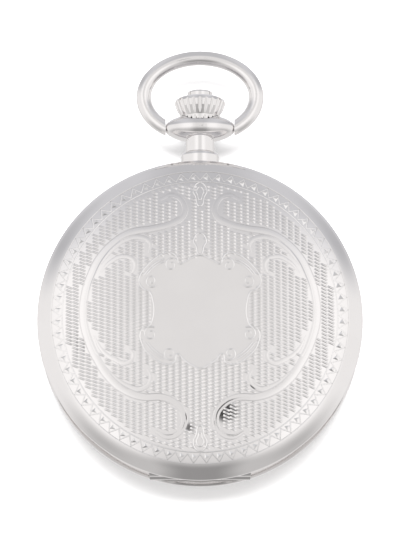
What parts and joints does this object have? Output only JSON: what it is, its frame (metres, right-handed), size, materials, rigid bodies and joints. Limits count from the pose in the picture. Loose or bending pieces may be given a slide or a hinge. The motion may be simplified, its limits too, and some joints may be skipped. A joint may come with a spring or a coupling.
{
  "type": "hunter pocket watch",
  "caption": "Round pocket watch with hinged covers over the dial and the movement, a keyless crown with a push button, and a swinging bow for a chain.",
  "frame": {"origin": "centre of the flat on the back cover, on the case axis", "axes": "+Z out of the front cover, +Y to 12 o'clock (pendant, crown and bow), -Y to the cover hinges, +X to 3 o'clock"},
  "size_m": [0.048, 0.0659, 0.0146],
  "materials": {
    "case_silver": "polished",
    "crown_silver": "polished",
    "spring_steel": "satin",
    "screw_steel": "polished",
    "crystal_glass": "polished",
    "plate_nickel": "satin",
    "gilt_brass": "satin",
    "wheel_steel": "satin",
    "ruby": "polished",
    "enamel_white": "gloss",
    "blued_steel": "polished"
  },
  "bodies": {
    "root": {"case_middle": "case_silver", "pendant": "case_silver", "front_hinge_pin": "spring_steel", "back_hinge_pin": "spring_steel", "front_bezel": "case_silver", "front_crystal": "crystal_glass", "back_bezel": "case_silver", "back_crystal": "crystal_glass", "latch_spring": "spring_steel", "lift_spring": "spring_steel", "case_screws": "screw_steel", "bridge_screws": "screw_steel", "main_plate": "plate_nickel", "barrel_bridge": "plate_nickel", "train_bridge": "plate_nickel", "balance_cock": "plate_nickel", "pallet_bridge": "plate_nickel", "jewels": "ruby", "crown_wheel_plate": "wheel_steel", "click_spring": "spring_steel", "hairspring": "blued_steel", "dial": "enamel_white"},
    "front_cover_body": {"front_cover": "case_silver"},
    "back_cover_body": {"back_cover": "case_silver"},
    "bow_body": {"bow": "case_silver", "bow_pins": "case_silver"},
    "winding_body": {"winding_pinion": "wheel_steel", "sliding_pinion": "wheel_steel"},
    "crown_body": {"stem": "spring_steel", "crown": "crown_silver"},
    "button_body": {"crown_button": "crown_silver"},
    "crown_wheel_body": {"crown_wheel": "wheel_steel"},
    "ratchet_body": {"ratchet_wheel": "wheel_steel", "ratchet_screw": "screw_steel", "barrel_arbor": "wheel_steel"},
    "click_body": {"click": "wheel_steel"},
    "setting_lever_body": {"setting_lever": "spring_steel"},
    "barrel_body": {"barrel_drum": "gilt_brass", "barrel_cover": "gilt_brass", "mainspring": "blued_steel"},
    "center_body": {"center_wheel": "gilt_brass", "center_pinion": "wheel_steel", "cannon_pinion": "wheel_steel", "minute_hand": "blued_steel"},
    "third_body": {"third_wheel": "gilt_brass", "third_pinion": "wheel_steel"},
    "fourth_body": {"fourth_wheel": "gilt_brass", "fourth_pinion": "wheel_steel", "seconds_hand": "blued_steel"},
    "escape_body": {"escape_wheel": "wheel_steel", "escape_pinion": "wheel_steel"},
    "pallet_body": {"pallet_fork": "wheel_steel", "pallet_stones": "ruby"},
    "balance_body": {"balance_wheel": "gilt_brass", "balance_screws": "gilt_brass", "balance_staff": "wheel_steel"},
    "regulator_body": {"regulator": "wheel_steel"},
    "minute_wheel_body": {"minute_wheel": "gilt_brass"},
    "hour_body": {"hour_wheel": "gilt_brass", "hour_hand": "blued_steel"}
  },
  "joints": [
    {"name": "front_cover_hinge", "type": "hinge", "parent": "root", "child": "front_cover_body", "pos_m": [0, -0.0225, 0.0092], "axis": [1, 0, 0], "range_deg": [0, 90]},
    {"name": "back_cover_hinge", "type": "hinge", "parent": "root", "child": "back_cover_body", "pos_m": [0, -0.0225, 0.0054], "axis": [-1, 0, 0], "range_deg": [0, 90]},
    {"name": "bow_swing", "type": "hinge", "parent": "root", "child": "bow_body", "pos_m": [0, 0.0298, 0.0073], "axis": [1, 0, 0], "range_deg": [-80, 80]},
    {"name": "winding_turn", "type": "hinge", "parent": "root", "child": "winding_body", "pos_m": [0, 0.01098, 0.0073], "axis": [0, 1, 0], "continuous": true},
    {"name": "crown_pull", "type": "slide", "parent": "winding_body", "child": "crown_body", "axis": [0, 1, 0], "range_m": [0, 0.001]},
    {"name": "crown_button_press", "type": "slide", "parent": "crown_body", "child": "button_body", "axis": [0, -1, 0], "range_m": [0, 0.0005], "stiffness_N_per_m": 200},
    {"name": "crown_wheel_turn", "type": "hinge", "parent": "root", "child": "crown_wheel_body", "pos_m": [0, 0.00898, 0.00435], "axis": [0, 0, 1], "continuous": true},
    {"name": "ratchet_turn", "type": "hinge", "parent": "root", "child": "ratchet_body", "pos_m": [-0.0062, 0.00521, 0.00435], "axis": [0, 0, 1], "continuous": true},
    {"name": "click_swing", "type": "hinge", "parent": "root", "child": "click_body", "pos_m": [-0.01094, 0.00994, 0.00435], "axis": [0, 0, 1], "range_deg": [0, 12]},
    {"name": "setting_lever_swing", "type": "hinge", "parent": "root", "child": "setting_lever_body", "pos_m": [0.0034, 0.01468, 0.007], "axis": [0, 0, -1], "range_deg": [0, 18.93]},
    {"name": "barrel_turn", "type": "hinge", "parent": "root", "child": "barrel_body", "pos_m": [-0.0062, 0.00521, 0.007], "axis": [0, 0, 1], "continuous": true},
    {"name": "minute_turn", "type": "hinge", "parent": "root", "child": "center_body", "pos_m": [0, 0, 0.007], "axis": [0, 0, -1], "continuous": true},
    {"name": "third_turn", "type": "hinge", "parent": "root", "child": "third_body", "pos_m": [0.00475, -0.00541, 0.007], "axis": [0, 0, 1], "continuous": true},
    {"name": "seconds_turn", "type": "hinge", "parent": "root", "child": "fourth_body", "pos_m": [0, -0.00899, 0.007], "axis": [0, 0, -1], "continuous": true},
    {"name": "escape_turn", "type": "hinge", "parent": "root", "child": "escape_body", "pos_m": [-0.00495, -0.01186, 0.007], "axis": [0, 0, 1], "continuous": true},
    {"name": "pallet_rock", "type": "hinge", "parent": "root", "child": "pallet_body", "pos_m": [-0.00707, -0.00973, 0.007], "axis": [0, 0, 1], "range_deg": [-4, 4]},
    {"name": "balance_swing", "type": "hinge", "parent": "root", "child": "balance_body", "pos_m": [-0.0102, -0.00659, 0.006], "axis": [0, 0, 1], "range_deg": [-150, 150], "stiffness_Nm_per_rad": 0.000001},
    {"name": "regulator_shift", "type": "hinge", "parent": "root", "child": "regulator_body", "pos_m": [-0.0102, -0.00659, 0.0044], "axis": [0, 0, 1], "range_deg": [-20, 20]},
    {"name": "minute_wheel_turn", "type": "hinge", "parent": "root", "child": "minute_wheel_body", "pos_m": [0, 0.0036, 0.0084], "axis": [0, 0, 1], "continuous": true},
    {"name": "hour_turn", "type": "hinge", "parent": "root", "child": "hour_body", "pos_m": [0, 0, 0.0087], "axis": [0, 0, -1], "continuous": true}
  ],
  "couplings": [
    {"joint": "minute_turn", "follows": "seconds_turn", "ratio": 0.016667},
    {"joint": "third_turn", "follows": "seconds_turn", "ratio": 0.13333},
    {"joint": "escape_turn", "follows": "seconds_turn", "ratio": 10},
    {"joint": "barrel_turn", "follows": "seconds_turn", "ratio": 0.0025641},
    {"joint": "minute_wheel_turn", "follows": "seconds_turn", "ratio": 0.0055556},
    {"joint": "hour_turn", "follows": "seconds_turn", "ratio": 0.0013889},
    {"joint": "crown_wheel_turn", "follows": "winding_turn", "ratio": 0.625},
    {"joint": "ratchet_turn", "follows": "winding_turn", "ratio": -0.35714},
    {"joint": "setting_lever_swing", "follows": "crown_pull", "rad_per_m": 330.3}
  ]
}
